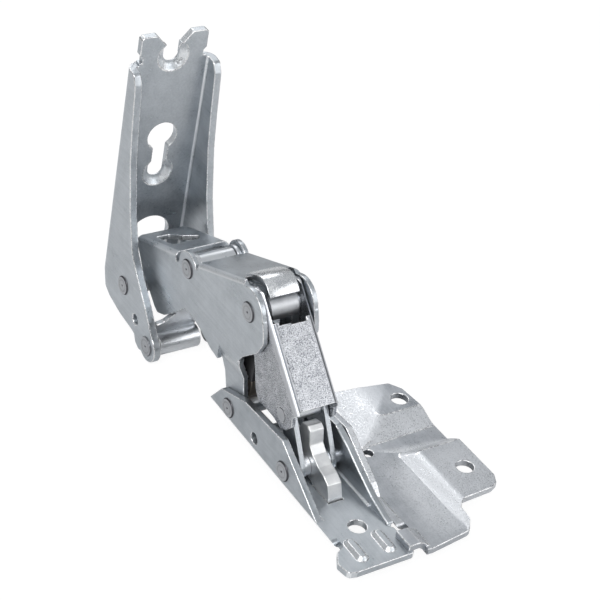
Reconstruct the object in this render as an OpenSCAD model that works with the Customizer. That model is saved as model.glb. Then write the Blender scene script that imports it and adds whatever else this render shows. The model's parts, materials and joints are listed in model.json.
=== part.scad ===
// Seven-pivot refrigerator door hinge, drawn in its open position.
// X runs along the pivot pins, Y from the door bracket towards the cabinet
// bracket, Z away from the door.

/* [Pivots] */
// distance along the door from the front screw hole to the main arm pivot
arm_foot_y = 52.5; // [48:0.1:56]
// height of the main arm pivot over the door surface
arm_foot_z = 5.1; // [4.8:0.1:6]
// distance from the front screw hole to the door link pivot
link_foot_y = 23.1; // [22:0.1:25]
// height of the door link pivot over the door surface
link_foot_z = 5.5; // [5:0.1:6]
// joint between door link and front lever, along the door
link_head_y = 30.6; // [30:0.1:31]
// joint between door link and front lever, height
link_head_z = 18.3; // [17.8:0.1:18.8]
// centre pivot of the two crossing levers, along the door
centre_y = 49.5; // [49:0.1:50]
// centre pivot of the two crossing levers, height
centre_z = 39.4; // [39:0.1:40]
// rear pivot of the main arm, along the door
upper_y = 82.5; // [82:0.1:83]
// rear pivot of the main arm, height
upper_z = 32.3; // [32:0.1:32.6]
// upper pivot in the cabinet bracket, along the door
cab_y = 109.8; // [109:0.1:110.5]
// upper pivot in the cabinet bracket, height
cab_z = 10.5; // [10:0.1:11]
// lower pivot in the cabinet bracket, along the door
eye_y = 93.1; // [92.6:0.1:93.6]
// lower pivot in the cabinet bracket, height
eye_z = -0.5; // [-1:0.1:0]
// shank radius of the pivot rivets
pin_r = 2; // [1.8:0.05:2.2]
// radius of the rivet heads
head_r = 3; // [2.6:0.1:3.2]
// how far a rivet head stands out
head_h = 0.4; // [0.3:0.05:0.6]
// radial play of a turning pivot
run_gap = 0.05; // [0.02:0.01:0.1]

/* [Door bracket] */
// sheet thickness of the door bracket
door_t = 2; // [1.8:0.1:2.2]
// outer width over the two flanges
door_w = 18.7; // [18.7:0.1:19]
// rear end of the door bracket
door_rear = 62.7; // [61:0.1:64]
// highest point of its flanges
flange_h = 14.3; // [13:0.1:15]
// front end of the tongue
tongue_front = -14.2; // [-16:0.1:-13]
// radius of the front screw hole
screw_r = 2.5; // [2.2:0.05:2.8]
// radius of the empty holes in the flanges
spare_r = 1.7; // [1.2:0.05:2]
// length of the two stiffening beads in the tongue
bead_l = 8.6; // [7:0.1:9.5]
// width of those beads
bead_w = 3.4; // [2.6:0.1:4]
// height of those beads
bead_h = 1.1; // [0.8:0.05:1.4]

/* [Wing plate] */
// sheet thickness of the wing plate
wing_t = 2; // [1.8:0.05:2.05]
// outer edge of the wing
wing_x = 44.6; // [43:0.1:48]
// height of the two raised screw pads
pad_rise = 2.2; // [1.5:0.1:2.6]
// spacing of the two wing screw holes
wing_pitch = 32; // [31:0.1:33]
// hole nearest the front, along the door
wing_hole_y = 6.2; // [5:0.1:7.5]
// distance of both holes from the middle plane
wing_hole_x = 38.9; // [37:0.1:39.5]
// radius of the small locating hole in the wing
locate_r = 1.5; // [1:0.1:2]

/* [Main arm] */
// sheet thickness of the main arm
arm_t = 1.5; // [1.4:0.05:1.5]
// outer width of the main arm
arm_w = 17.4; // [17.3:0.1:17.8]
// outer bend radius of its long edges
arm_bend = 1.8; // [1.6:0.1:2.2]

/* [Front lever] */
// sheet thickness of the front lever
lever_t = 1.2; // [1:0.05:1.2]
// distance of the front face from the centre pivot
lever_off = 6; // [5.8:0.05:6.2]
// outer bend radius of its long edges
lever_bend = 2.4; // [2:0.1:2.8]
// thickness of the rear arm of the lever
rear_t = 2.6; // [2:0.1:2.6]

/* [Links] */
// thickness of each door link plate
link_t = 1.5; // [1.2:0.05:1.5]
// sheet thickness of the rolled cabinet link
roll_t = 1.5; // [1.2:0.05:1.6]
// thickness of the cam plate
cam_t = 4.4; // [4:0.1:4.6]

/* [Cabinet bracket] */
// sheet thickness of the cabinet bracket
cab_t = 2.3; // [2:0.05:2.3]
// outer width of the cabinet bracket
cab_w = 27.4; // [27.4:0.1:28]
// lean of the web towards the door when the hinge is open
lean = 5.5; // [5:0.1:6]
// distance from the upper pivot to the face of the web
web_y = 12.5; // [12:0.1:13]
// height of the hook tabs over the upper pivot
tab_top = 76.7; // [76:0.1:79]
// height where the flanges end
flange_top = 68.5; // [67:0.1:69]
// height of the open hook notch
notch_z = 69.5; // [69:0.1:70]
// half width of the hook notch and of the keyhole neck
neck_r = 2.4; // [2.1:0.05:2.6]
// height of the small end of the keyhole
key_z = 30; // [29:0.1:31]
// height of the large end of the keyhole
key_top_z = 42.5; // [41.5:0.1:43.5]
// radius of the large end of the keyhole
key_r = 4.6; // [4.2:0.1:5]
// radius of the countersinks
sink_r = 4.8; // [4.5:0.1:5.2]
// half width of the arch under the web
arch_r = 6.6; // [6:0.1:7]
// height of the arch
arch_z = 13.4; // [12.5:0.1:14]

/* [Hidden] */
$fn = 48;
side_gap = 0.2;
seat_gap = 0.02;
lap = 0.01;
foot = [arm_foot_y, arm_foot_z];
link_foot = [link_foot_y, link_foot_z];
link_head = [link_head_y, link_head_z];
centre = [centre_y, centre_z];
upper = [upper_y, upper_z];
cab = [cab_y, cab_z];
eye = [eye_y, eye_z];
door_in = door_w / 2 - door_t;
leg_out = door_in - side_gap;
leg_in = leg_out - arm_t;
arm_in = arm_w / 2 - arm_t;
lever_w = 2 * (arm_in - side_gap);
lever_in = lever_w / 2 - lever_t;
lug_out = lever_in - side_gap;
lug_in = lug_out - link_t;
cab_in = cab_w / 2 - cab_t;
rear_out = lever_in - side_gap;
rear_in = rear_out - rear_t;
wing_in = door_w / 2 + 0.15;
wing_out = wing_in + wing_t;
roll_r = pin_r + run_gap + roll_t;
roll_half = lever_in - side_gap;
eye_left = -cab_in + 0.7;
eye_right = rear_in - 0.4;
tube_r = 3.3;
lever_turn = 224.4;
coils = 6;
spring_l = 11;
coil_r = 1.03;
wire_r = 0.33;
zinc = [0.74, 0.76, 0.78];
bright = [0.85, 0.86, 0.87];
black = [0.09, 0.09, 0.1];

// a flat shape drawn in Y and Z, given thickness from x0 to x1
module across(x0, x1) {
  translate([x0, 0, 0]) rotate([90, 0, 90]) linear_extrude(x1 - x0) children();
}

// a section drawn in X and Z, given length from y0 to y1
module lengthways(y0, y1) {
  translate([0, y1, 0]) rotate([90, 0, 0]) linear_extrude(y1 - y0) children();
}

// the same flat shape on both side walls
module both_walls(inner, outer) {
  across(-outer, -inner) children();
  across(inner, outer) children();
}

// outer corners rounded
module soft(r) {
  offset(r) offset(delta = -r) children();
}

// a round shape at a pivot
module spot(p, r) {
  translate(p) circle(r);
}

// a strap with round ends between two pivots
module strap(a, b, ra, rb) {
  hull() {
    spot(a, ra, $fn = 32);
    spot(b, rb, $fn = 32);
  }
}

// shank with two low heads, from x0 to x1 over the outer faces
module rivet(p, x0, x1, r = pin_r, hr = head_r) {
  translate([x0, p[0], p[1]]) rotate([0, 90, 0]) cylinder(h = x1 - x0, r = r);
  translate([x1 + seat_gap, p[0], p[1]]) rotate([0, 90, 0])
    cylinder(h = head_h, r1 = hr, r2 = hr - 0.3);
  translate([x0 - seat_gap, p[0], p[1]]) rotate([0, -90, 0])
    cylinder(h = head_h, r1 = hr, r2 = hr - 0.3);
  translate([x1 - lap, p[0], p[1]]) rotate([0, 90, 0]) cylinder(h = seat_gap + 2 * lap, r = r);
  translate([x0 + lap, p[0], p[1]]) rotate([0, -90, 0]) cylinder(h = seat_gap + 2 * lap, r = r);
}

// round tube between x0 and x1
module tube(p, x0, x1, ro, ri) {
  across(x0, x1) difference() {
    spot(p, ro);
    spot(p, ri);
  }
}

// U section with rounded outer bends, floor at z = 0
module u_section(w, t, h, bend) {
  difference() {
    union() {
      translate([-w / 2, bend]) square([w, h - bend]);
      translate([-w / 2 + bend, 0]) square([w - 2 * bend, bend + lap]);
      for (s = [-1, 1]) translate([s * (w / 2 - bend), bend]) circle(bend);
    }
    translate([-w / 2 + t, bend]) square([w - 2 * t, h]);
    translate([-w / 2 + bend, t]) square([w - 2 * bend, bend]);
    for (s = [-1, 1]) translate([s * (w / 2 - bend), bend]) circle(bend - t);
  }
}

/* Door bracket: floor, two flanges and the front tongue from one sheet. */
module door_side() {
  soft(1.6) polygon([[-3, -3], [-3, door_t], [5.3, door_t], [25.4, flange_h],
    [30, flange_h - 0.4], [44.7, 12.9], [57.1, 8.6], [door_rear, 1.4], [door_rear - 1, -3]]);
}

module door_bracket() {
  color(zinc) difference() {
    union() {
      intersection() {
        lengthways(-3, door_rear) u_section(door_w, door_t, flange_h + 3, door_t + 0.8);
        across(-door_w, door_w) door_side();
      }
      linear_extrude(door_t) soft(1.4) polygon([[-7.4, 0.5], [-7.4, -4.6], [-10.2, -6.2],
        [-12.2, -9.6], [-11.4, tongue_front + 0.6], [-9, tongue_front], [8.8, tongue_front],
        [8.8, -4.2], [7.2, -2.6], [7.2, 0.5]]);
      for (x = [-5.3, 3.2]) translate([x, -7.5, door_t - lap]) bead();
    }
    for (x = [-5.3, 3.2]) translate([x, -7.5, -lap]) bead();
    translate([0, 0, -1]) cylinder(h = 9, r = screw_r);
    across(-20, 20) {
      spot(foot, pin_r + seat_gap);
      spot(link_foot, pin_r + seat_gap);
      spot([38.2, 5.1], spare_r);
    }
    translate([-cam_t / 2 - 0.1, 10.4, -1]) cube([cam_t + 0.2, 9.6, 9]);
    translate([-door_in + 0.05, arm_foot_y - 7.5, -1])
      cube([2 * door_in - 0.1, door_rear - arm_foot_y + 4.6, 1 + door_t + 0.9]);
  }
}

// oval bead with a domed top
module bead() {
  hull() for (y = [-1, 1]) translate([0, y * (bead_l - bead_w) / 2, 0])
    cylinder(h = bead_h, r1 = bead_w / 2, r2 = bead_w / 2 - 0.8, $fn = 32);
}

/* Wing plate: its own flange beside the door bracket, a stepped sheet with
   two raised screw pads and a tab that laps over the tongue. */
module wing_plan() {
  polygon([[wing_out - 0.5, 51], [wing_out - 0.5, -4.2], [8.8 + 0.4, -4.6],
    [8.8 + 0.4, -14.6], [13.9, -14.9], [26.7, -13.3], [28.6, -10.6], [28.9, -6.2], [30.2, -4.2],
    [40.7, -3.7], [wing_x - 1.4, -2.6], [wing_x, 0.3], [wing_x, 18.2],
    [wing_x - 1.2, 20.4], [wing_x - 1.2, 32.2], [42.4, 42], [40, 45.6], [28.5, 47.6],
    [23, 50.2]]);
}

module pad(x0, y0, x1, y1, run_x, run_y, z) {
  hull() {
    translate([x0 - run_x, y0 - run_y, z - lap])
      cube([x1 - x0 + 2 * run_x, y1 - y0 + 2 * run_y, lap]);
    translate([x0, y0, z - lap]) cube([x1 - x0, y1 - y0, pad_rise + lap]);
  }
}

module wing_pads(z) {
  pad(30.2, -20, 60, 16.6, 4.2, 3.4, z);
  pad(29, 33.6, 60, 60, 7, 6, z);
}

module wing_side() {
  soft(1) polygon([[-4.2, -1], [-4.2, wing_t], [6.4, wing_t + 0.9], [9.2, 6], [23.5, 14], [29.4, 13.6],
    [44, 12.2], [50.6, 9.6], [51, -1]]);
}

module wing_l() {
  bend = wing_t + 0.8;
  difference() {
    union() {
      translate([wing_in, bend]) square([wing_t, 20]);
      translate([wing_in + bend, 0]) square([4, wing_t]);
      translate([wing_in + bend, bend]) circle(bend);
    }
    translate([wing_in + wing_t, bend]) square([9, 30]);
    translate([wing_in + bend, wing_t]) square([9, 9]);
    translate([wing_in + bend, bend]) circle(bend - wing_t);
  }
}

module wing_plate() {
  color(zinc) difference() {
    union() {
      intersection() {
        linear_extrude(9) soft(1) wing_plan();
        difference() {
          union() {
            translate([wing_out + 0.8 - lap, -16, 0]) cube([40, 68, wing_t]);
            wing_pads(wing_t);
          }
          wing_pads(0);
        }
      }
      intersection() {
        lengthways(-4.2, 51) wing_l();
        across(wing_in - 1, wing_out + 4) wing_side();
      }
      wing_tab();
    }
    for (k = [0, 1]) translate([wing_hole_x, wing_hole_y + k * wing_pitch, -1])
      cylinder(h = 9, r = screw_r);
    translate([18.8, 23.6, -1]) cylinder(h = 9, r = locate_r);
    across(wing_in - 1, wing_out + 1) {
      spot(foot, pin_r + seat_gap);
      spot(link_foot, pin_r + seat_gap);
    }
  }
}

// the tab steps up and rests on the tongue
module wing_tab() {
  up = door_t + 0.05;
  lengthways(-13.6, -7.2) polygon([[6.9, up], [10.2, up], [12.6, 0], [15.6, 0],
    [15.6, wing_t], [13.4, wing_t], [11, up + wing_t], [6.9, up + wing_t]]);
}

/* Cam plate: thick stamped plate standing in a slot of the floor. */
module cam_plate() {
  color(bright) difference() {
    across(-cam_t / 2, cam_t / 2) soft(0.7) offset(-1.4) offset(delta = 1.4) polygon([[10.6, 0.2],
      [10.9, 2.9], [12.2, 6.6], [14.6, 8], [17.4, 8.7], [20.6, 10.4], [22.6, 12.2],
      [22.9, 14.2], [23.3, 16.4], [24.8, 17.4], [27.6, 16.6], [28.6, 13.4], [28.2, 7],
      [26.6, 2.4], [18.4, 2.4], [18.4, 0.2]]);
    across(-5, 5) spot(link_foot, pin_r + seat_gap);
  }
}

module arm_foot_rivet() {
  color(bright) rivet(foot, -door_w / 2, wing_out);
}

module link_foot_rivet() {
  color(bright) rivet(link_foot, -door_w / 2, wing_out);
}

/* Short tubes that keep the link plates apart on the front rivet. */
module link_foot_spacers() {
  color(bright) for (s = [-1, 1])
    across(min(s * (cam_t / 2 + 0.05), s * (lug_in - 0.05)),
      max(s * (cam_t / 2 + 0.05), s * (lug_in - 0.05))) ring(link_foot, 3.1);
}

module ring(p, r) {
  difference() {
    spot(p, r);
    spot(p, pin_r + seat_gap);
  }
}

/* Door link: two equal plates on a cross pin. */
module door_link() {
  color(zinc) both_walls(lug_in, lug_out) difference() {
    strap(link_foot, link_head, 3.3, 3.3);
    spot(link_foot, pin_r + run_gap);
    spot(link_head, pin_r + seat_gap);
  }
}

module link_head_pin() {
  color(bright) {
    across(-lug_out, lug_out) spot(link_head, pin_r);
    across(-lug_in + 0.05, lug_in - 0.05) difference() {
      spot(link_head, 2.5);
      spot(link_head, pin_r - lap);
    }
  }
}

/* Front lever: a deep channel bent from one sheet. */
module lever_frame() {
  translate([0, centre[0], centre[1]]) rotate([lever_turn, 0, 0]) children();
}

module lever_wall() {
  union() {
    polygon([[0, -6.6], [5.2, -lever_off - 1], [30.2, -lever_off - 1], [30.2, -3.4], [32.4, -1.6],
      [32.6, 1.9], [31.6, 4.6], [28.4, 6.6], [24.9, 9.8], [23.2, 11.8], [21.4, 12.4],
      [19, 11.9], [15.2, 9.5], [11.3, 7.5], [4, 6], [0, 6.6]]);
    circle(6.6);
  }
}

module front_lever() {
  color(zinc) difference() {
    lever_frame() difference() {
      intersection() {
        translate([0, 0, -lever_off]) lengthways(-8, 34)
          u_section(lever_w, lever_t, 22, lever_bend);
        across(-lever_w, lever_w) lever_wall();
      }
      translate([0, 0, -lever_off]) cube([2 * lever_in, 10.4, 9], center = true);
      translate([0, 5.2, -lever_off]) cube([8.4, 2.4, 6], center = true);
      translate([-lever_in, 29.3, -lever_off - 2]) cube([2 * lever_in, 5, 7]);
      translate([-lever_in + 0.05, 21.5, -lever_off + lever_t + 0.03])
        cube([2 * lever_in - 0.1, 9, 2.4]);
    }
    across(-9, 9) {
      spot(centre, pin_r + run_gap);
      spot(link_head, pin_r + seat_gap);
    }
    across(lever_in - 1, 9) spot(rear_hole(), 1.2 + seat_gap);
  }
}

/* Studs at the joint with the door link. This joint is the open one: each
   stud ends flush with the inside of the lever wall. */
module lever_studs() {
  color(bright) for (s = [-1, 1]) across(min(s * lever_in, s * (lever_w / 2 + 0.15)),
    max(s * lever_in, s * (lever_w / 2 + 0.15))) spot(link_head, pin_r);
}

/* Rear arm of the lever: one stout plate to the cabinet bracket. */
function rear_hole() = centre + [-1.2, -9.6];

module rear_arm() {
  color(zinc) difference() {
    union() {
      across(rear_in, rear_out) {
        strap(centre, cab, 3.3, 3.4);
        spot(cab, 4.8);
        strap(centre, rear_hole(), 3.1, 3);
      }
      across(rear_out - lap, lever_in - 0.02) {
        spot(centre, 2.9);
        spot(rear_hole(), 2.7);
      }
    }
    across(0, 9) {
      spot(centre, pin_r + run_gap);
      spot(cab, pin_r + run_gap);
      spot(rear_hole(), 1.2 + seat_gap);
    }
  }
}

module rear_arm_rivet() {
  color(bright) {
    across(rear_in - 0.3, lever_w / 2 + 0.1) spot(rear_hole(), 1.2);
    across(rear_in - 0.32, rear_in - seat_gap) spot(rear_hole(), 2);
  }
}

/* Spring housing inside the lever, with two closing springs on rods. */
module spring_housing() {
  color(black) lever_frame() difference() {
    union() {
      across(-3.6, 2.6) polygon([[9, -4.4], [22.6, -4.4], [22.6, -0.6], [17, 4.4], [9, 4.4]]);
      across(-5.4, -3.6 + lap) polygon([[10, -4.3], [19, -4.3], [18, 6], [10, 6]]);
    }
    for (x = [-2.1, 1.1]) translate([x, 10.5, 0.4]) rotate([-90, 0, 0])
      cylinder(h = 12, r = 1.45);
    for (x = [-2.1, 1.1]) translate([x, 8, 0.4]) rotate([-90, 0, 0]) cylinder(h = 4, r = 0.75);
  }
}

module spring_pair() {
  pitch = spring_l / coils;
  section = [for (t = [0 : 30 : 330]) let (r = coil_r + wire_r * cos(t),
    a = 360 * wire_r * sin(t) / pitch) [r * cos(a), r * sin(a)]];
  color(bright) lever_frame() for (x = [-2.1, 1.1]) translate([x, 10.7, 0.4]) rotate([-90, 0, 0])
    linear_extrude(spring_l, twist = -360 * coils, slices = 10 * coils, $fn = 8)
      polygon(section);
}

module spring_rod() {
  color(bright) lever_frame() {
    for (x = [-2.1, 1.1]) translate([x, 6.4, 0.4]) rotate([-90, 0, 0])
      cylinder(h = 15.6, r = 0.65);
    across(-3.2, 2.2) translate([5.6, -0.8]) square([1, 2.4]);
  }
}

/* Grey pressure piece seen under the nose of the arm. */
module pressure_piece() {
  color(zinc) lever_frame() difference() {
    across(-4.3, 4.3) intersection() {
      difference() {
        circle(4.6);
        circle(3.5);
      }
      polygon([[0, 0], [-8, -9], [9, -9], [9, -5]]);
    }
    for (s = [-1, 1]) translate([s * 5.4, 4.3, -3]) rotate([0, 0, s * 24])
      cube([3.4, 8, 9], center = true);
  }
}

/* Main arm: inverted channel with a cut-out web, rear ears, a bent-down nose
   and two legs set inwards to fit between the door flanges. */
module arm_side() {
  difference() {
    union() {
      soft(1.6) polygon([[42.4, 41], [41.3, 37.4], [40.8, 34.4], [43.2, 30], [49.7, 24.4],
        [56, 15], [59.2, 14.9], [65.8, 15.8], [73, 18.3], [78.3, 19.5], [82, 19.1],
        [89.1, 12.5], [93.2, 9.3], [97.3, 7.6], [99.2, 8.6], [108, 15.9], [111.4, 21.3],
        [112.8, 24.4], [111, 30], [88, 42], [60, 50], [47, 42]]);
      spot(centre, 7.1);
    }
  }
}

// walls with the rear part of the web
module arm_channel(tilt, at, y0, y1) {
  intersection() {
    translate([0, at[0], at[1]]) rotate([-tilt, 0, 0]) mirror([0, 0, 1])
      lengthways(-60, 60) u_section(arm_w, arm_t, 60, arm_bend);
    across(-arm_w, arm_w) intersection() {
      arm_side();
      translate([y0, -20]) square([y1 - y0, 90]);
    }
  }
}

module arm_leg() {
  soft(0.8) polygon([[46, 33], [51.4, 24], [50.6, 20], [49.6, 14], [47.6, 5.1], [57.4, 5.1],
    [58.8, 9], [59.8, 12.4], [62, 15.4], [66, 20], [60, 33]]);
  spot(foot, 4.9);
}

// wall set inwards between two heights
module leg_section() {
  for (s = [-1, 1]) scale([s, 1]) polygon([[leg_in, -2], [leg_out, -2], [leg_out, 16.4],
    [arm_w / 2, 20.4], [arm_w / 2, 23], [arm_in, 23], [arm_in, 20.9], [leg_in, 16.9]]);
}

module main_arm() {
  color(zinc) difference() {
    union() {
      difference() {
        union() {
          arm_channel(22, [66, 41.8], 30, 84);
          arm_channel(20, [84, 35.6], 84 - lap, 114);
        }
        translate([0, 84.4, 36.6]) rotate([-20, 0, 0])
          cube([arm_w + 2, 12.6, 8], center = true);
        translate([0, 101.5, 29.2]) rotate([-20, 0, 0]) linear_extrude(5, center = true)
          soft(0.8) polygon([[-5.4, -4.4], [3.4, -4.4], [5, -1], [1, 2.4], [-1, 6.6], [-5.4, 6.6]]);
        translate([-arm_in, 30, 40.6]) cube([2 * arm_in, 26, 12]);
        across(-12, 12) polygon([[40, 20.4], [62, 20.4], [62, 10], [40, 10]]);
      }
      intersection() {
        lengthways(40, 66) leg_section();
        across(-12, 12) arm_leg();
      }
      arm_nose();
      both_walls(arm_in + 0.02, arm_w / 2 - 0.02) spot(upper, 5.2);
    }
    across(-12, 12) {
      spot(centre, pin_r + seat_gap);
      spot(upper, pin_r + seat_gap);
      spot(foot, pin_r + run_gap);
    }
  }
}

// tongue bent down over the centre rivet
module arm_nose() {
  across(-4.5, 4.5) soft(0.4) polygon([[60, 43.1], [56.4, 44.4], [53.6, 45.4], [50.9, 46.2],
    [49.4, 45.6], [47.6, 43.9], [46.6, 44.9], [48.6, 46.9], [50.6, 47.9], [53.6, 47.2],
    [60, 43.9]]);
}

module guide_block() {
  color(black) across(-leg_in + 0.3, eye_right) polygon([[47.6, 27.6], [48.4, 21], [48.8, 15.4],
    [56.6, 15.4], [59.2, 20], [57, 29.4], [52, 31]]);
}

/* Steel end of the guide, resting on the foot tube. */
module guide_end() {
  color(zinc) across(-leg_in + 0.6, eye_right) polygon([[48.9, 15.38], [49.4, 10.2], [51.4, 8.42],
    [53.6, 8.42], [55.8, 10.2], [56.4, 15.38]]);
}

module arm_foot_tube() {
  color(bright) tube(foot, -leg_in + 0.02, leg_in - 0.02, tube_r, pin_r + run_gap);
}

module centre_rivet() {
  color(bright) rivet(centre, -arm_w / 2, arm_w / 2);
}

module centre_tube() {
  color(bright) tube(centre, -lever_in + 0.1, rear_in - 0.1, 2.9, pin_r + seat_gap);
}

module upper_rivet() {
  color(bright) rivet(upper, -arm_w / 2, arm_w / 2);
}

module upper_washers() {
  color(bright) for (s = [-1, 1]) {
    across(min(s * (roll_half + 0.15), s * (arm_in - 0.1)),
      max(s * (roll_half + 0.15), s * (arm_in - 0.1))) ring(upper, 4.1);
  }
}

/* Cabinet link: sheet rolled round a pin at each end, wider at the lower eye. */
module cabinet_link() {
  v = eye - upper;
  turn = atan2(v[1], v[0]);
  span = norm(v);
  color(zinc) difference() {
    translate([0, upper[0], upper[1]]) rotate([turn, 0, 0]) union() {
      across(-roll_half, roll_half) roll_end(0);
      across(eye_left, eye_right) roll_end(span);
      translate([0, 0, roll_r - roll_t]) linear_extrude(roll_t) polygon([[-roll_half, 0],
        [eye_right, 0], [eye_right, span], [eye_left, span], [eye_left, span - 6.4],
        [eye_left + 2.3, span - 7], [-roll_half, span - 10]]);
    }
    across(-12, 12) {
      spot(upper, pin_r + run_gap);
      spot(eye, pin_r + seat_gap);
    }
  }
}

// one rolled end, with the slit where the sheet closes on itself
module roll_end(at) {
  difference() {
    translate([at, 0]) circle(roll_r);
    translate([at, 0]) circle(pin_r);
    rotate(0) translate([at - (at > 1 ? 3.4 : -1), pin_r - 0.4 - roll_t])
      square([at > 1 ? 2.4 : 2.4, 0.3]);
  }
}

/* Pin of the lower eye. This joint is the second open one: the pin turns with
   the link and ends flush with the rolled eye. */
module link_eye_pin() {
  color(bright) across(eye_left, eye_right) spot(eye, pin_r);
}

/* Cabinet bracket: channel that narrows upwards, hooks and a keyhole in the web. */
module cab_frame() {
  translate([0, cab[0], cab[1]]) rotate([lean, 0, 0]) children();
}

function to_cab(p) = [(p[0] - cab[0]) * cos(lean) + (p[1] - cab[1]) * sin(lean),
  -(p[0] - cab[0]) * sin(lean) + (p[1] - cab[1]) * cos(lean)];

module cab_side() {
  soft(1.6) union() {
    polygon([[web_y + 6, flange_top], [web_y + 6, 2], [web_y - 0.2, -4], [10.8, -8.4], [7.4, -10],
      [0, -11], [-7.6, -10.9], [-9.6, -11.1], [-11, -13.4], [-14, -14], [-21, -6], [-13.7, 2.2],
      [-6.2, 9.6], [-2.6, 13.6], [1.6, 25.4], [5.2, 41], [6.6, 52], [7.6, 63], [7.8, flange_top - 4],
      [9.4, flange_top - 1]]);
    spot(to_cab(eye), 5);
  }
}

module cab_web() {
  difference() {
    union() {
      translate([-20, -10]) square([40, flange_top + 10 - 1]);
      translate([-cab_in + 0.2, 40]) square([2 * cab_in - 0.4, flange_top - 40]);
      for (s = [-1, 1]) scale([s, 1]) soft(0.8) polygon([[0, 60], [9.6, 60], [9.6, flange_top + 1.6],
        [10.9, flange_top + 3], [10.9, tab_top - 1], [9.6, tab_top], [5.6, tab_top],
        [2.6, tab_top - 3.4], [0, tab_top - 3.4]]);
    }
    translate([0, notch_z]) circle(neck_r);
    translate([-neck_r, notch_z]) square([2 * neck_r, 12]);
    translate([-neck_r, key_z]) square([2 * neck_r, key_top_z - key_z]);
    translate([0, key_z]) circle(neck_r);
    translate([0, key_top_z]) circle(key_r);
    translate([0, arch_z - arch_r]) circle(arch_r);
    translate([-arch_r, -20]) square([2 * arch_r, 20 + arch_z - arch_r]);
  }
}

module cabinet_bracket() {
  bend = cab_t + 0.9;
  color(zinc) difference() {
    cab_frame() difference() {
      union() {
        intersection() {
          translate([0, web_y + cab_t, 0]) rotate([90, 0, 0]) linear_extrude(60)
            polygon([[-cab_w, -20], [cab_w, -20], [cab_w, 90], [-cab_w, 90]]);
          translate([0, 0, -18]) linear_extrude(flange_top + 18) cab_section(bend);
          across(-cab_w, cab_w) cab_side();
        }
        translate([0, web_y + cab_t, 0]) rotate([90, 0, 0]) linear_extrude(cab_t)
          intersection() {
            cab_web();
            translate([-cab_w / 2 + bend, -8]) square([cab_w - 2 * bend, 100]);
          }
      }
      translate([0, web_y + cab_t + 1, 0]) rotate([90, 0, 0]) linear_extrude(cab_t + 2)
        difference() {
          translate([-cab_w / 2 + bend, -30]) square([cab_w - 2 * bend, 130]);
          cab_web();
        }
      for (z = [notch_z, key_z]) translate([0, web_y - lap, z]) rotate([-90, 0, 0])
        cylinder(h = cab_t - 0.5, r1 = sink_r, r2 = neck_r + 0.3);
    }
    across(-20, 20) {
      spot(cab, pin_r + seat_gap);
      spot(eye, pin_r + seat_gap);
      spot(cab + [-8.6, -6.8], spare_r);
    }
  }
}

// U section open towards the door
module cab_section(bend) {
  translate([0, web_y + cab_t]) mirror([0, 1]) u_section(cab_w, cab_t, 60, bend);
}

module cabinet_rivet() {
  color(bright) rivet(cab, -cab_w / 2, cab_w / 2);
}

/* Tubes that hold the rear arm in place across the bracket. */
module cabinet_tubes() {
  color(bright) {
    tube(cab, -cab_in + 0.02, rear_in - 0.1, tube_r, pin_r + seat_gap);
    tube(cab, rear_out + 0.1, cab_in - 0.02, tube_r, pin_r + seat_gap);
  }
}

/* Stub rivets that stand for the pin of the lower eye in the two flanges. */
module eye_studs() {
  color(bright) {
    across(-cab_w / 2, -cab_in) spot(eye, pin_r);
    across(-cab_w / 2 - head_h, -cab_w / 2 + lap) spot(eye, pin_r);
    across(-cab_w / 2 - head_h, -cab_w / 2 - seat_gap) spot(eye, head_r);
    across(cab_in, cab_w / 2) spot(eye, pin_r);
    across(cab_w / 2 - lap, cab_w / 2 + head_h) spot(eye, pin_r);
    across(cab_w / 2 + seat_gap, cab_w / 2 + head_h) spot(eye, head_r);
    across(rear_out + 0.5, cab_in + lap) spot(eye, pin_r);
    across(rear_out + 0.5, cab_in - seat_gap) spot(eye, tube_r);
  }
}

door_bracket();
wing_plate();
cam_plate();
arm_foot_rivet();
link_foot_rivet();
link_foot_spacers();
door_link();
link_head_pin();
front_lever();
lever_studs();
rear_arm();
rear_arm_rivet();
spring_housing();
spring_pair();
spring_rod();
pressure_piece();
main_arm();
guide_block();
guide_end();
arm_foot_tube();
centre_rivet();
centre_tube();
upper_rivet();
upper_washers();
cabinet_link();
link_eye_pin();
cabinet_bracket();
cabinet_rivet();
cabinet_tubes();
eye_studs();
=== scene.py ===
# Refrigerator door hinge: zinc-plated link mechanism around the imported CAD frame
import json
import math

import bmesh
import bpy
from mathutils import Matrix, Vector


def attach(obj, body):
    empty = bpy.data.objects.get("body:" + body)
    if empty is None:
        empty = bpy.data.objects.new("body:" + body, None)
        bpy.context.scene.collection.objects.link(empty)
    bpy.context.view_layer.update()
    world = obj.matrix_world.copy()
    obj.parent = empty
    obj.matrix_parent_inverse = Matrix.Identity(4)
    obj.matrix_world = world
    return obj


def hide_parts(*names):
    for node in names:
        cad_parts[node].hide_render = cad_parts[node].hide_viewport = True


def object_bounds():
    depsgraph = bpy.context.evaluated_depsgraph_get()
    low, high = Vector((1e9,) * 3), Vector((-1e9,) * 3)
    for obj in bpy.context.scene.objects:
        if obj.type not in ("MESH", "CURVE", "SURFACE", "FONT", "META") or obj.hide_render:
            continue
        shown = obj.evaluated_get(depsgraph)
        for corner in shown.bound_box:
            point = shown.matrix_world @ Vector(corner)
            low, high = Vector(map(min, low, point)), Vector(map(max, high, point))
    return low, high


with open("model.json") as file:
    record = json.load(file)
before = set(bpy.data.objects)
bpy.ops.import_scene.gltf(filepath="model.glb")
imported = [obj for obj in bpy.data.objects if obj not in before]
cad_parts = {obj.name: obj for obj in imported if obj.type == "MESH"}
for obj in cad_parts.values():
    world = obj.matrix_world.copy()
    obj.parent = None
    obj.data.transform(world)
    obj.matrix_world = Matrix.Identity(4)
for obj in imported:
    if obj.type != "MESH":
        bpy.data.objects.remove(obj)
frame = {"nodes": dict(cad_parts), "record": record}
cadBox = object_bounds()
mm = 0.001
print("frame loaded:", len(frame["nodes"]), "nodes")


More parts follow.
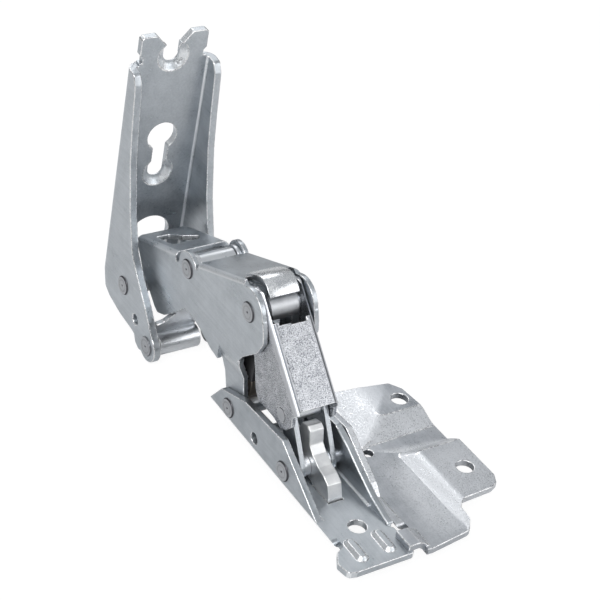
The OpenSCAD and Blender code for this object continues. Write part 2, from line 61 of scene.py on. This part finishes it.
def newGroup(name, inputs, outputs):
    group = bpy.data.node_groups.new(name, "ShaderNodeTree")
    for label, value in inputs.items():
        sock = group.interface.new_socket(name=label, in_out="INPUT", socket_type="NodeSocketFloat")
        sock.default_value = value
    for label in outputs:
        group.interface.new_socket(name=label, in_out="OUTPUT", socket_type="NodeSocketFloat")
    return group


def newMaterial(name):
    material = bpy.data.materials.new(name)
    material.use_nodes = True
    return material, material.node_tree


# inputs of a node, by name or number: outputs of other nodes are linked, numbers and colours are set
def feed(tree, node, inputs):
    for key, value in inputs.items():
        if isinstance(value, bpy.types.NodeSocket):
            tree.links.new(value, node.inputs[key])
        else:
            node.inputs[key].default_value = value


def addNode(tree, kind, x, y, inputs=None, **settings):
    node = tree.nodes.new(kind)
    node.location = (x, y)
    for key, value in settings.items():
        setattr(node, key, value)
    feed(tree, node, inputs or {})
    return node


def addMath(tree, x, y, operation, *values):
    return addNode(tree, "ShaderNodeMath", x, y, dict(enumerate(values)), operation=operation).outputs[0]


# value carried from the range low..high to the range start..stop
def addRamp(tree, x, y, value, low, high, start=0.0, stop=1.0, **settings):
    inputs = {"Value": value, "From Min": low, "From Max": high, "To Min": start, "To Max": stop}
    return addNode(tree, "ShaderNodeMapRange", x, y, inputs, **settings).outputs["Result"]


def mixColors(tree, x, y, amount, first, second):
    first, second = [color if isinstance(color, bpy.types.NodeSocket) else (*color, 1)
                     for color in (first, second)]
    return addNode(tree, "ShaderNodeMix", x, y, {0: amount, 6: first, 7: second}, data_type="RGBA").outputs[2]


def mixNumbers(tree, x, y, amount, first, second):
    return addNode(tree, "ShaderNodeMix", x, y, {0: amount, 2: first, 3: second}, data_type="FLOAT").outputs[0]


# how squarely the surface faces along one axis, from either side
def facing(tree, axis):
    place = addNode(tree, "ShaderNodeTexCoord", -700, -200)
    split = addNode(tree, "ShaderNodeSeparateXYZ", -500, -200, {0: place.outputs["Normal"]})
    return addMath(tree, -340, -200, "ABSOLUTE", split.outputs[axis])


# fine pits of the zinc, soft clouds, and rolling lines along one axis
grainLook = {"pits": {"Detail": 3.0, "Roughness": 0.6}, "clouds": {"Detail": 5.0, "Roughness": 0.62},
             "lines": {"Scale": 1.0, "Detail": 2.0}, "lineStretch": (1400.0, 60.0, 1400.0),
             "middle": 0.5, "pitRough": 0.25}


def makeGrainGroup():
    group = newGroup("zincGrain",
                     {"Pit Size": 2600.0, "Cloud Size": 90.0, "Cloud Depth": 0.10, "Line Depth": 0.05,
                      "Spark Depth": 0.0},
                     ("Tone", "Rough", "Height"))
    start = addNode(group, "NodeGroupInput", -900, 0).outputs
    place = addNode(group, "ShaderNodeTexCoord", -900, -200).outputs["Object"]
    pits = addNode(group, "ShaderNodeTexNoise", -600, 200,
                   {"Vector": place, "Scale": start["Pit Size"], **grainLook["pits"]}).outputs["Fac"]
    clouds = addNode(group, "ShaderNodeTexNoise", -600, -50,
                     {"Vector": place, "Scale": start["Cloud Size"], **grainLook["clouds"]}).outputs["Fac"]
    stretch = addNode(group, "ShaderNodeMapping", -780, -350, {"Vector": place, "Scale": grainLook["lineStretch"]})
    lines = addNode(group, "ShaderNodeTexNoise", -600, -350,
                    {"Vector": stretch.outputs["Vector"], **grainLook["lines"]}).outputs["Fac"]
    tones = []
    for pattern, depth, y in ((clouds, "Cloud Depth", -50), (lines, "Line Depth", -350),
                              (pits, "Spark Depth", 200)):
        offMiddle = addMath(group, -380, y, "SUBTRACT", pattern, grainLook["middle"])
        tones.append(addMath(group, -200, y, "MULTIPLY", offMiddle, start[depth]))
    rolled = addMath(group, -60, -150, "ADD", tones[0], tones[1])
    tone = addMath(group, 60, -150, "ADD", rolled, tones[2])
    rough = addMath(group, 60, 60, "MULTIPLY_ADD", pits, grainLook["pitRough"], tone)
    addNode(group, "NodeGroupOutput", 700, 0, {"Tone": tone, "Rough": rough, "Height": pits})
    return group


# stretched zinc and painted light on the bends: Mask is 1 where the surface turns between web and wall, where the
# finishes paint a highlight; the second output is 1 in a narrow band on the way round, for a painted dark
# reflection line
bendLook = {"full": 0.35, "gone": 0.985, "paintedLineAt": 0.42, "paintedLineFull": 0.06, "paintedLineGone": 0.14}


def makeBendGroup():
    group = newGroup("bendStretchAndPaintedLight", {"From": 0.12, "To": 0.9}, ("Mask", "PaintedDarkLine"))
    start = addNode(group, "NodeGroupInput", -700, 0).outputs
    sideways = facing(group, "X")
    begins = addRamp(group, -160, 60, sideways, start["From"], bendLook["full"])
    ends = addRamp(group, -160, -220, sideways, start["To"], bendLook["gone"], 1.0, 0.0)
    mask = addMath(group, 120, 0, "MULTIPLY", begins, ends)
    offMiddle = addMath(group, -160, -460, "SUBTRACT", sideways, bendLook["paintedLineAt"])
    away = addMath(group, 0, -460, "ABSOLUTE", offMiddle)
    paintedDarkLine = addRamp(group, 160, -460, away, bendLook["paintedLineFull"], bendLook["paintedLineGone"], 1.0, 0.0)
    addNode(group, "NodeGroupOutput", 500, 0, {"Mask": mask, "PaintedDarkLine": paintedDarkLine})
    return group


# slopes of the wing plate, grainy from drawing and with a painted highlight: 1 where the sheet leans, 0 on level
# faces and on cut edges, and basinShare in the basin between the screw pads, given as axis, edge and full depth in
# metres
slopeLook = {"leaning": 0.985, "cutEdge": 0.25, "basinShare": 0.6,
             "basin": (("X", 0.014, 0.022), ("Y", -0.018, -0.006), ("Y", 0.024, 0.010))}


def makeSlopeGroup():
    group = newGroup("slopeStretchAndPaintedLight", {"Level": 0.9985, "Steep": 0.45}, ("Mask",))
    start = addNode(group, "NodeGroupInput", -700, 0).outputs
    upward = facing(group, "Z")
    leans = addRamp(group, -160, 60, upward, slopeLook["leaning"], start["Level"], 1.0, 0.0)
    notEdge = addRamp(group, -160, -220, upward, slopeLook["cutEdge"], start["Steep"])
    slopes = addMath(group, 120, 0, "MULTIPLY", leans, notEdge)
    place = addNode(group, "ShaderNodeTexCoord", -700, -500)
    axes = addNode(group, "ShaderNodeSeparateXYZ", -500, -500, {0: place.outputs["Object"]}).outputs
    sides = [addRamp(group, -300, -500 - 260 * row, axes[axis], edge, full, interpolation_type="SMOOTHSTEP")
             for row, (axis, edge, full) in enumerate(slopeLook["basin"])]
    length = addMath(group, -80, -600, "MULTIPLY", sides[1], sides[2])
    basin = addMath(group, 80, -560, "MULTIPLY", sides[0], length)
    thinned = addMath(group, 240, -560, "MULTIPLY", basin, slopeLook["basinShare"])
    leanAndBasinMask = addMath(group, 300, 0, "MAXIMUM", slopes, thinned)
    addNode(group, "NodeGroupOutput", 500, 0, {"Mask": leanAndBasinMask})
    return group


grainGroup = makeGrainGroup()
bendGroup = makeBendGroup()
slopeGroup = makeSlopeGroup()

# what every metal finish starts from; sizes count repeats per metre, heights are in metres,
# and the values named bend act where the mask group is 1, where the bend colour paints a highlight on bends and
# slopes and shade in the rivet rings
metalBase = {"maskGroup": bendGroup, "toneRange": 0.08, "spark": 0.0, "bendSpark": 0.0, "bendCover": 1.0,
             "bendRough": 0.0, "bendBump": 0.0}


def metalFinish(name, look):
    values = {**metalBase, **look}
    material, tree = newMaterial(name)
    bend = addNode(tree, "ShaderNodeGroup", -1400, -300, node_tree=values["maskGroup"]).outputs
    sparkle = addMath(tree, -1150, 100, "MULTIPLY_ADD", bend["Mask"], values["bendSpark"], values["spark"])
    grain = addNode(tree, "ShaderNodeGroup", -900, 0,
                    {"Pit Size": values["pitSize"], "Cloud Size": values["cloudSize"],
                     "Cloud Depth": values["cloudDepth"], "Line Depth": values["lineDepth"],
                     "Spark Depth": sparkle}, node_tree=grainGroup).outputs
    tint = addRamp(tree, -650, 150, grain["Tone"], -values["toneRange"], values["toneRange"])
    sheet = mixColors(tree, -420, 200, tint, values["dark"], values["light"])
    # painted light of the mask group over the sheet colour: highlight on bends and slopes, shade in the rivet
    # rings
    cover = addMath(tree, -420, 420, "MULTIPLY", bend["Mask"], values["bendCover"])
    color = mixColors(tree, -200, 200, cover, sheet, values["bendStretchAndPaintedLightColor"])
    # painted dark reflection line along the bends
    if "paintedDarkLine" in values:
        color = mixColors(tree, 0, 300, bend["PaintedDarkLine"], color, values["paintedDarkLine"])
    rough = addMath(tree, -420, -50, "ADD", grain["Rough"], values["rough"])
    bendRough = addMath(tree, -220, -50, "MULTIPLY_ADD", bend["Mask"], values["bendRough"], rough)
    lift = addMath(tree, -620, -300, "MULTIPLY_ADD", bend["Mask"], values["bendBump"], 1.0)
    height = addMath(tree, -420, -250, "MULTIPLY", grain["Height"], lift)
    bump = addNode(tree, "ShaderNodeBump", -200, -250, {"Distance": values["bumpHeight"], "Height": height})
    feed(tree, tree.nodes["Principled BSDF"],
         {"Metallic": 1.0, "Base Color": color, "Roughness": bendRough, "Normal": bump.outputs["Normal"]})
    return material


# rolled zinc-plated sheet of the arm and the cabinet bracket, with a painted highlight on the bends over the
# stretched zinc
zincLook = {"pitSize": 2600.0, "cloudSize": 150.0, "cloudDepth": 0.42, "lineDepth": 0.22,
            "dark": (0.46, 0.49, 0.52), "light": (0.60, 0.63, 0.66), "bendStretchAndPaintedLightColor": (0.84, 0.86, 0.88),
            "rough": 0.26, "bumpHeight": 0.00004, "bendBump": 0.5, "spark": 0.20, "bendSpark": 0.3}
zincSheet = metalFinish("zincSheet", zincLook)

# lighter plating of the door parts, with a painted highlight on the bends over the stretched zinc
paleLook = {"pitSize": 2200.0, "cloudSize": 160.0, "cloudDepth": 0.36, "lineDepth": 0.14,
            "dark": (0.40, 0.43, 0.46), "light": (0.56, 0.59, 0.62), "bendStretchAndPaintedLightColor": (0.86, 0.88, 0.90),
            "rough": 0.26, "bumpHeight": 0.00003, "bendBump": 1.0, "spark": 0.10, "bendSpark": 0.3}
paleZinc = metalFinish("paleZinc", paleLook)

# the same plating on the drawn wing, grainy where the sheet was stretched, with a painted highlight on the slopes
# and in the basin
wingLook = {"pitSize": 2700.0, "cloudSize": 160.0, "cloudDepth": 0.34, "lineDepth": 0.12,
            "dark": (0.34, 0.36, 0.39), "light": (0.55, 0.57, 0.60), "bendStretchAndPaintedLightColor": (0.92, 0.93, 0.95),
            "rough": 0.26, "bumpHeight": 0.00004, "bendBump": 0.8, "spark": 0.16, "bendSpark": 1.1,
            "bendRough": 0.08, "bendCover": 0.55, "maskGroup": slopeGroup}
wingZinc = metalFinish("wingZinc", wingLook)

# rivet ends: dull faces, with painted shade in the rings where the heads sit in the sheet
rivetLook = {"pitSize": 2600.0, "cloudSize": 400.0, "cloudDepth": 0.25, "lineDepth": 0.03,
             "dark": (0.40, 0.41, 0.43), "light": (0.56, 0.57, 0.59), "bendStretchAndPaintedLightColor": (0.10, 0.10, 0.11),
             "rough": 0.30, "bumpHeight": 0.00002, "spark": 0.15}
rivetSteel = metalFinish("rivetSteel", rivetLook)

# coarse bright crystals of the front lever, smooth on its two bends, which carry a painted highlight and a painted
# dark reflection line
sparkLook = {"pitSize": 3300.0, "cloudSize": 420.0, "cloudDepth": 0.20, "lineDepth": 0.05,
             "dark": (0.17, 0.18, 0.20), "light": (0.72, 0.73, 0.76), "bendStretchAndPaintedLightColor": (0.66, 0.67, 0.70),
             "rough": 0.24, "bumpHeight": 0.00005, "bendBump": -0.95, "spark": 0.62, "bendSpark": -0.55,
             "bendRough": 0.06, "paintedDarkLine": (0.16, 0.17, 0.19)}
sparkZinc = metalFinish("sparkZinc", sparkLook)

# bright zinc of the nose of the arm, lightened as a painted highlight
noseHighlightLook = {"pitSize": 2400.0, "cloudSize": 300.0, "cloudDepth": 0.25, "lineDepth": 0.08,
                "dark": (0.62, 0.64, 0.67), "light": (0.90, 0.91, 0.92), "bendStretchAndPaintedLightColor": (0.88, 0.89, 0.90),
                "rough": 0.14, "bumpHeight": 0.00003, "spark": 0.25}
noseHighlightZinc = metalFinish("noseHighlightZinc", noseHighlightLook)

# painted highlight on the broken edges of the sheets
edgeHighlightLook = {"pitSize": 1600.0, "cloudSize": 700.0, "cloudDepth": 0.50, "lineDepth": 0.05,
            "dark": (0.52, 0.53, 0.55), "light": (0.97, 0.97, 0.97), "bendStretchAndPaintedLightColor": (0.95, 0.95, 0.95),
            "rough": 0.16, "bumpHeight": 0.00003, "spark": 0.35, "bendCover": 0.3}
edgeHighlightZinc = metalFinish("edgeHighlightZinc", edgeHighlightLook)

# turned rolls and tubes
brightLook = {"pitSize": 1800.0, "cloudSize": 160.0, "cloudDepth": 0.12, "lineDepth": 0.03,
              "dark": (0.58, 0.60, 0.63), "light": (0.76, 0.78, 0.80), "bendStretchAndPaintedLightColor": (0.74, 0.76, 0.79),
              "rough": 0.20, "bumpHeight": 0.00001}
brightSteel = metalFinish("brightSteel", brightLook)

# tumbled cam plate
camLook = {"pitSize": 900.0, "cloudSize": 260.0, "cloudDepth": 0.30, "lineDepth": 0.04,
           "dark": (0.70, 0.71, 0.72), "light": (0.92, 0.92, 0.92), "bendStretchAndPaintedLightColor": (0.92, 0.92, 0.92),
           "rough": 0.36, "bumpHeight": 0.00004}
camSteel = metalFinish("camSteel", camLook)

# brown end of the guide
brownLook = {"pitSize": 1500.0, "cloudSize": 300.0, "cloudDepth": 0.30, "lineDepth": 0.04,
             "dark": (0.24, 0.20, 0.17), "light": (0.40, 0.35, 0.30), "bendStretchAndPaintedLightColor": (0.45, 0.40, 0.35),
             "rough": 0.30, "bumpHeight": 0.00005}
brownSteel = metalFinish("brownSteel", brownLook)

# moulded black plastic with a fine eroded grain
plasticLook = {"dark": (0.018, 0.018, 0.020), "light": (0.045, 0.045, 0.048), "rough": 0.45,
               "grainSize": 3000.0, "grainHeight": 0.00003}
blackPlastic, plasticTree = newMaterial("blackPlastic")
plasticGrain = addNode(plasticTree, "ShaderNodeGroup", -700, 0, {"Pit Size": plasticLook["grainSize"]},
                       node_tree=grainGroup).outputs["Height"]
plasticColor = mixColors(plasticTree, -300, 150, plasticGrain, plasticLook["dark"], plasticLook["light"])
plasticBump = addNode(plasticTree, "ShaderNodeBump", -300, -200,
                      {"Distance": plasticLook["grainHeight"], "Height": plasticGrain})
feed(plasticTree, plasticTree.nodes["Principled BSDF"],
     {"Base Color": plasticColor, "Roughness": plasticLook["rough"], "Normal": plasticBump.outputs["Normal"]})
print("finishes made")

nodeBody = {node: body for body, nodes in frame["record"]["behaviour"]["bodies"].items() for node in nodes}
slotOf = {part["node"]: part["material_slot"] for part in frame["record"]["subparts"]}

# finish of each material slot, and of the nodes that have their own
slotFinish = {"zinc_sheet": zincSheet, "bright_steel": brightSteel, "black_plastic": blackPlastic}
rivets = ["arm_foot_rivet", "link_foot_rivet", "centre_rivet", "upper_rivet", "cabinet_rivet", "eye_studs"]
ownFinish = {"door_bracket": paleZinc, "wing_plate": wingZinc, "front_lever": sparkZinc,
             "cam_plate": camSteel, "guide_end": brownSteel, "pressure_piece": rivetSteel,
             "lever_studs": rivetSteel, **{node: rivetSteel for node in rivets}}

# broken edges of each piece: width in mm and the angle that counts as an edge
edgeBreak = {
    "door_bracket": (0.22, 13), "wing_plate": (0.25, 11), "cam_plate": (0.30, 32), "door_link": (0.18, 32),
    "front_lever": (0.18, 24), "rear_arm": (0.25, 32), "main_arm": (0.20, 24), "cabinet_link": (0.18, 24),
    "cabinet_bracket": (0.28, 24), "pressure_piece": (0.12, 32), "spring_housing": (0.20, 32),
    "guide_block": (0.30, 24), "guide_end": (0.25, 24), "upper_washers": (0.15, 32),
    "centre_tube": (0.15, 32), "arm_foot_tube": (0.15, 32), "cabinet_tubes": (0.20, 32),
    "link_foot_spacers": (0.15, 32), "link_head_pin": (0.12, 32), "lever_studs": (0.10, 32),
}

# sheets whose broken edges get a painted highlight
highlightedEdges = {"door_bracket", "wing_plate", "main_arm", "cabinet_bracket", "front_lever", "cabinet_link",
             "rear_arm"}

# drawn folds softened to a wide curve: width and shortest fold in mm, smallest and largest turn,
# and how far both faces must look up
foldLook = {"wing_plate": {"width": 1.3, "least": 7, "most": 62, "length": 5.0, "up": 0.3, "segments": 4}}

# how the edges are found and shaded: merge in metres, angles in degrees, room in widths, and the
# decimals at which two lengths count as equal
breakLook = {"merge": 0.00003, "flat": 0.6, "segments": 2, "smoothBelow": 50, "flatWeight": 50,
             "goesOn": 125, "roomBeside": 2.2, "roomAcross": 1.3, "roundFrom": 8, "digits": 8}

# stamped rivet heads in mm: plain rim, groove, raised middle, centre mark
headLook = {"rim": 0.75, "rimShare": 0.4, "grooveWidth": 0.16, "grooveDepth": 0.10, "markRadius": 0.30,
            "markShare": 0.6, "markDepth": 0.22, "level": 0.01, "facing": 0.999, "roundFrom": 12,
            "edge": (0.10, 32), "rivets": rivets + ["rear_arm_rivet"]}
for node in headLook["rivets"]:
    edgeBreak[node] = headLook["edge"]


def finishFor(node):
    return ownFinish.get(node, slotFinish[slotOf[node]])


def stampHeads(bm):
    ends = [vert.co.x for vert in bm.verts]
    low, high, level = min(ends), max(ends), headLook["level"] * mm
    heads = [face for face in bm.faces
             if abs(face.normal.x) > headLook["facing"] and len(face.verts) > headLook["roundFrom"]
             and (abs(face.verts[0].co.x - high) < level or abs(face.verts[0].co.x - low) < level)]
    groove, depth = headLook["grooveWidth"] * mm, headLook["grooveDepth"] * mm
    mark = headLook["markRadius"] * mm
    for face in heads:
        radius = (face.verts[0].co - face.calc_center_median()).length
        rim = min(headLook["rim"] * mm, radius * headLook["rimShare"])
        steps = ((rim, 0), (groove, -depth), (groove, depth), (radius - rim - 2 * groove - mark, 0),
                 (mark * headLook["markShare"], -headLook["markDepth"] * mm))
        for thickness, rise in steps:
            bmesh.ops.inset_region(bm, faces=[face], thickness=thickness, depth=rise, use_even_offset=True)


# narrow rings and strips, too thin for a broken edge on both sides
def isThin(face, width):
    around = sum(edge.calc_length() for edge in face.edges)
    narrow = breakLook["roomBeside"] * width
    return len(face.verts) > breakLook["roundFrom"] and 2 * face.calc_area() < narrow * around


# whether the edges that meet a wanted edge at its ends leave room for its width
def hasRoom(edge, wanted, width):
    for vert in edge.verts:
        along = edge.other_vert(vert).co - vert.co
        for other in vert.link_edges:
            if other is edge:
                continue
            across = other.other_vert(vert).co - vert.co
            follows = other in wanted and along.angle(across, 0) > math.radians(breakLook["goesOn"])
            room = breakLook["roomBeside"] if other in wanted else breakLook["roomAcross"]
            if not follows and across.length < room * width:
                return False
    return True


# edges that turn between the two angles, are long enough and have room for the width; the longest
# are looked at first, so every run drops the same ones
def edgesToBreak(bm, width, least, most=180, length=0.0, up=None):
    wanted = {edge for edge in bm.edges if len(edge.link_faces) == 2
              and math.radians(least) < edge.calc_face_angle(0) <= math.radians(most)
              and edge.calc_length() >= length
              and not any(isThin(face, width) for face in edge.link_faces)
              and (up is None or min(face.normal.z for face in edge.link_faces) > up)}
    dropped = True
    while dropped:
        dropped = False
        longestFirst = sorted((edge for edge in bm.edges if edge in wanted),
                              key=lambda edge: -round(edge.calc_length(), breakLook["digits"]))
        for edge in longestFirst:
            if not hasRoom(edge, wanted, width):
                wanted.discard(edge)
                dropped = True
    return [edge for edge in bm.edges if edge in wanted]


def sharpEdges(bm, least):
    return [edge for edge in bm.edges if edge.calc_face_angle(0) > math.radians(least)]


def roundEdges(bm, edges, width, segments):
    return bmesh.ops.bevel(bm, geom=edges, offset=width, offset_type="OFFSET", affect="EDGES",
                           segments=segments, profile=0.5, material=-1, clamp_overlap=False)["faces"]


def shadeSmooth(bm):
    for face in bm.faces:
        face.smooth = True


# object at the origin with the finished mesh
def addPiece(name, mesh, bm):
    bm.to_mesh(mesh)
    bm.free()
    piece = bpy.data.objects.new(name, mesh)
    bpy.context.scene.collection.objects.link(piece)
    return piece


# copy of a CAD node with merged points, soft folds, broken edges and stamped heads
def dressNode(node, width, angle):
    mesh = frame["nodes"][node].data.copy()
    for name in ("custom_normal", "sharp_edge", "sharp_face"):
        if name in mesh.attributes:
            mesh.attributes.remove(mesh.attributes[name])
    mesh.materials.clear()
    mesh.materials.append(finishFor(node))
    bm = bmesh.new()
    bm.from_mesh(mesh)
    bmesh.ops.remove_doubles(bm, verts=bm.verts, dist=breakLook["merge"])
    bmesh.ops.dissolve_limit(bm, angle_limit=math.radians(breakLook["flat"]), verts=bm.verts, edges=bm.edges)
    if node in headLook["rivets"]:
        stampHeads(bm)
    if node in foldLook:
        fold = foldLook[node]
        folds = edgesToBreak(bm, fold["width"] * mm, fold["least"], fold["most"], fold["length"] * mm,
                             fold["up"])
        roundEdges(bm, folds, fold["width"] * mm, fold["segments"])
    for face in bm.faces:
        face.material_index = 0
    broken = roundEdges(bm, edgesToBreak(bm, width * mm, angle), width * mm, breakLook["segments"])
    # painted highlight on the broken edges
    if node in highlightedEdges:
        mesh.materials.append(edgeHighlightZinc)
        for face in broken:
            face.material_index = 1
    shadeSmooth(bm)
    for edge in bm.edges:
        edge.smooth = edge.calc_face_angle(0) < math.radians(breakLook["smoothBelow"])
    piece = addPiece(node + "Piece", mesh, bm)
    flat = piece.modifiers.new("flatFaces", "WEIGHTED_NORMAL")
    flat.mode = "FACE_AREA"
    flat.weight = breakLook["flatWeight"]
    flat.keep_sharp = True
    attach(piece, nodeBody[node])
    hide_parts(node)


for node, cadObject in frame["nodes"].items():
    if node in edgeBreak:
        dressNode(node, *edgeBreak[node])
    else:
        cadObject.data.materials.clear()
        cadObject.data.materials.append(finishFor(node))
print("pieces dressed")

# raised nose of the right flange of the door bracket: side faces, foot and top line (y, z) in mm
noseLook = {"inner": 7.3, "outer": 9.4, "foot": 1.9, "block": 4.0, "edge": 0.45, "segments": 3, "sharp": 60,
            "line": [(-3.0, 2.7), (-0.8, 3.1), (5.6, 5.0), (12.5, 8.3), (18.8, 11.7), (24.6, 14.0)]}


# height of the top line at a place along the flange
def noseHeight(along):
    line = noseLook["line"]
    for (start, low), (stop, high) in zip(line, line[1:]):
        if along <= stop:
            break
    return low + (high - low) * (along - start) / (stop - start)


front, back = noseLook["line"][0][0], noseLook["line"][-1][0]
bm = bmesh.new()
bmesh.ops.create_cube(bm, size=1.0)
bmesh.ops.scale(bm, verts=bm.verts, vec=(noseLook["outer"] - noseLook["inner"], back - front, noseLook["block"]))
bmesh.ops.translate(bm, verts=bm.verts, vec=((noseLook["outer"] + noseLook["inner"]) / 2, (front + back) / 2,
                                             noseLook["foot"] + noseLook["block"] / 2))
for along, high in noseLook["line"][1:-1]:
    bmesh.ops.bisect_plane(bm, geom=bm.verts[:] + bm.edges[:] + bm.faces[:], plane_co=(0, along, 0),
                           plane_no=(0, 1, 0))
for vert in bm.verts:
    if vert.co.z > noseLook["foot"] + noseLook["block"] / 2:
        vert.co.z = noseHeight(vert.co.y)
bmesh.ops.scale(bm, verts=bm.verts, vec=(mm, mm, mm))
roundEdges(bm, sharpEdges(bm, noseLook["sharp"]), noseLook["edge"] * mm, noseLook["segments"])
shadeSmooth(bm)
flangeNose = addPiece("flangeNose", bpy.data.meshes.new("flangeNose"), bm)
flangeNose.data.materials.append(paleZinc)
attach(flangeNose, nodeBody["door_bracket"])
print("flange nose made")

# smooth skin over the bent-down nose of the arm, painted bright as a highlight: sides, thickness and outer line
# (y, z) in mm
skinLook = {"left": -4.62, "right": 4.62, "thick": 0.55, "edge": 0.16, "segments": 2, "sharp": 60,
            "line": [(60.2, 43.6), (59.0, 44.75), (57.3, 45.8), (55.5, 46.85), (53.6, 47.65), (51.9, 48.1),
                     (50.3, 48.05), (48.8, 47.3), (47.5, 46.2), (46.3, 44.8)]}
last = len(skinLook["line"]) - 1
bm = bmesh.new()
bmesh.ops.create_grid(bm, x_segments=1, y_segments=last, size=0.5)
for vert in bm.verts:
    row = round((vert.co.y + 0.5) * last)  # the grid runs from -0.5 to 0.5
    side = skinLook["right"] if vert.co.x > 0 else skinLook["left"]
    vert.co = Vector((side, *skinLook["line"][row])) * mm
bmesh.ops.recalc_face_normals(bm, faces=bm.faces)
if sum(face.normal.z for face in bm.faces) < 0:
    bmesh.ops.reverse_faces(bm, faces=bm.faces)
bmesh.ops.solidify(bm, geom=bm.faces[:], thickness=skinLook["thick"] * mm)
roundEdges(bm, sharpEdges(bm, skinLook["sharp"]), skinLook["edge"] * mm, skinLook["segments"])
shadeSmooth(bm)
noseSkin = addPiece("noseSkin", bpy.data.meshes.new("noseSkin"), bm)
noseSkin.data.materials.append(noseHighlightZinc)
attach(noseSkin, nodeBody["main_arm"])
print("nose skin made")

# the photo's camera: place in metres, lens and sensor in mm, and the camera's own axes
cameraLook = {"place": (-0.20304, -0.23930, 0.28145), "lens": 96.61, "sensor": 36.0, "clipStart": 0.01,
              "right": (0.8480, -0.5159, 0.1213), "down": (-0.2084, -0.5350, -0.8187),
              "forward": (0.4873, 0.6690, -0.5612)}
cameraData = bpy.data.cameras.new("camera")
cameraData.lens = cameraLook["lens"]
cameraData.sensor_width = cameraLook["sensor"]
cameraData.clip_start = cameraLook["clipStart"]
camera = bpy.data.objects.new("camera", cameraData)
bpy.context.scene.collection.objects.link(camera)
turn = Matrix((cameraLook["right"], [-a for a in cameraLook["down"]],
               [-a for a in cameraLook["forward"]])).transposed()
camera.matrix_world = Matrix.Translation(cameraLook["place"]) @ turn.to_4x4()
bpy.context.scene.camera = camera

# plain floor just under the hinge, shown nearly white to the camera
floorLook = {"size": 6.0, "gap": 0.0002, "color": (0.90, 0.90, 0.90), "rough": 0.9, "white": 0.85, "glow": 1.09}
bm = bmesh.new()
bmesh.ops.create_grid(bm, x_segments=1, y_segments=1, size=floorLook["size"] / 2)
bmesh.ops.translate(bm, verts=bm.verts, vec=(0, 0, cadBox[0][2] - floorLook["gap"]))
floor = addPiece("floor", bpy.data.meshes.new("floor"), bm)
paper, paperTree = newMaterial("paleFloor")
paperShader = paperTree.nodes["Principled BSDF"]
feed(paperTree, paperShader, {"Base Color": (*floorLook["color"], 1), "Roughness": floorLook["rough"]})
paperGlow = addNode(paperTree, "ShaderNodeEmission", -200, -300, {"Strength": floorLook["glow"]})
paperRays = addNode(paperTree, "ShaderNodeLightPath", -600, 200).outputs
paperAmount = addMath(paperTree, -200, 200, "MULTIPLY", paperRays["Is Camera Ray"], floorLook["white"])
paperMix = addNode(paperTree, "ShaderNodeMixShader", 100, 0,
                   {0: paperAmount, 1: paperShader.outputs[0], 2: paperGlow.outputs[0]})
feed(paperTree, paperTree.nodes["Material Output"], {"Surface": paperMix.outputs[0]})
floor.data.materials.append(paper)

# studio round the hinge: plain light, brighter overhead in reflections, white to the camera
worldLook = {"color": (0.95, 0.975, 1.0), "light": 0.30, "low": 0.16, "high": 0.62, "bottom": -0.1,
             "top": 0.9, "white": 1.0}
world = bpy.data.worlds.new("studio")
bpy.context.scene.world = world
world.use_nodes = True
worldTree = world.node_tree
rays = addNode(worldTree, "ShaderNodeLightPath", -900, 300).outputs
where = addNode(worldTree, "ShaderNodeTexCoord", -900, -100)
parts = addNode(worldTree, "ShaderNodeSeparateXYZ", -700, -100, {0: where.outputs["Generated"]}).outputs
mirrored = addRamp(worldTree, -500, -100, parts["Z"], worldLook["bottom"], worldLook["top"],
                   worldLook["low"], worldLook["high"])
soft = mixNumbers(worldTree, -300, -100, rays["Is Glossy Ray"], worldLook["light"], mirrored)
shown = mixNumbers(worldTree, -100, 0, rays["Is Camera Ray"], soft, worldLook["white"])
feed(worldTree, worldTree.nodes["Background"], {"Color": (*worldLook["color"], 1), "Strength": shown})

# three soft lamps, all turned to the middle of the hinge
lampAim = Vector((0.0, 0.05, 0.03))
lampLook = {
    "key": {"place": (-0.55, -0.35, 0.75), "size": (0.5, 0.5), "power": 5.0},
    "fill": {"place": (0.55, -0.60, 0.45), "size": (0.7, 0.5), "power": 2.5},
    "back": {"place": (0.10, 0.75, 0.70), "size": (0.8, 0.4), "power": 2.2},
}
for name, values in lampLook.items():
    lampData = bpy.data.lights.new(name, "AREA")
    lampData.shape = "RECTANGLE"
    lampData.size, lampData.size_y = values["size"]
    lampData.energy = values["power"]
    lamp = bpy.data.objects.new(name, lampData)
    bpy.context.scene.collection.objects.link(lamp)
    toAim = lampAim - Vector(values["place"])
    lamp.matrix_world = Matrix.Translation(values["place"]) @ toAim.to_track_quat("-Z", "Y").to_matrix().to_4x4()

bpy.context.scene.view_settings.view_transform = "Standard"
print("stage set")
